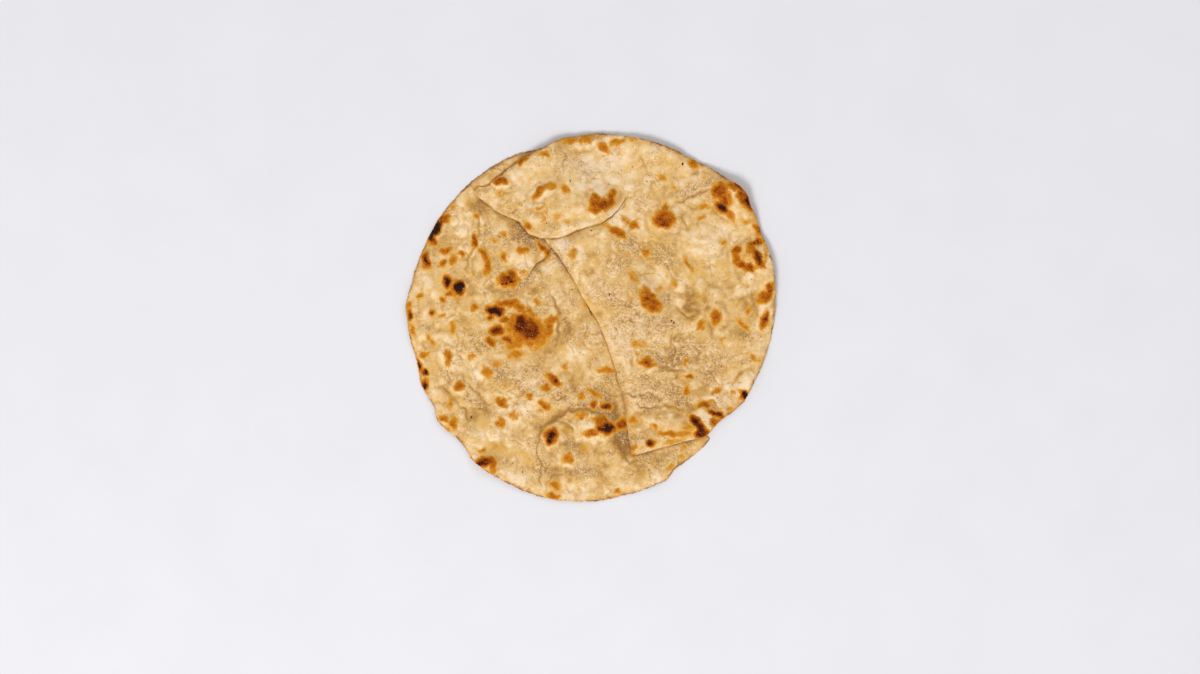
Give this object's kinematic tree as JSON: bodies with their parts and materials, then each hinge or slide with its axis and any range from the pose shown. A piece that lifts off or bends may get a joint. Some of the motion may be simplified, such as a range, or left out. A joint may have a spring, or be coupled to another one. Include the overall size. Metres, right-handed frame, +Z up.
{
  "type": "chapati flatbread",
  "caption": "Thin round griddle flatbread, cut across, its parts lapped to make a round, with toasted blisters.",
  "frame": {"origin": "middle of the bounding box, on the table that the bread lies on", "axes": "+Z up through the thickness; from above, +X to the right of the shown view and +Y to its top"},
  "size_m": [0.268, 0.2671, 0.0117],
  "materials": {
    "lower_crust": "matte baked dough, toasted in spots",
    "upper_crust": "matte baked dough, toasted in spots"
  },
  "bodies": {
    "root": {"lower_half": "lower_crust", "upper_half": "upper_crust"}
  },
  "joints": []
}
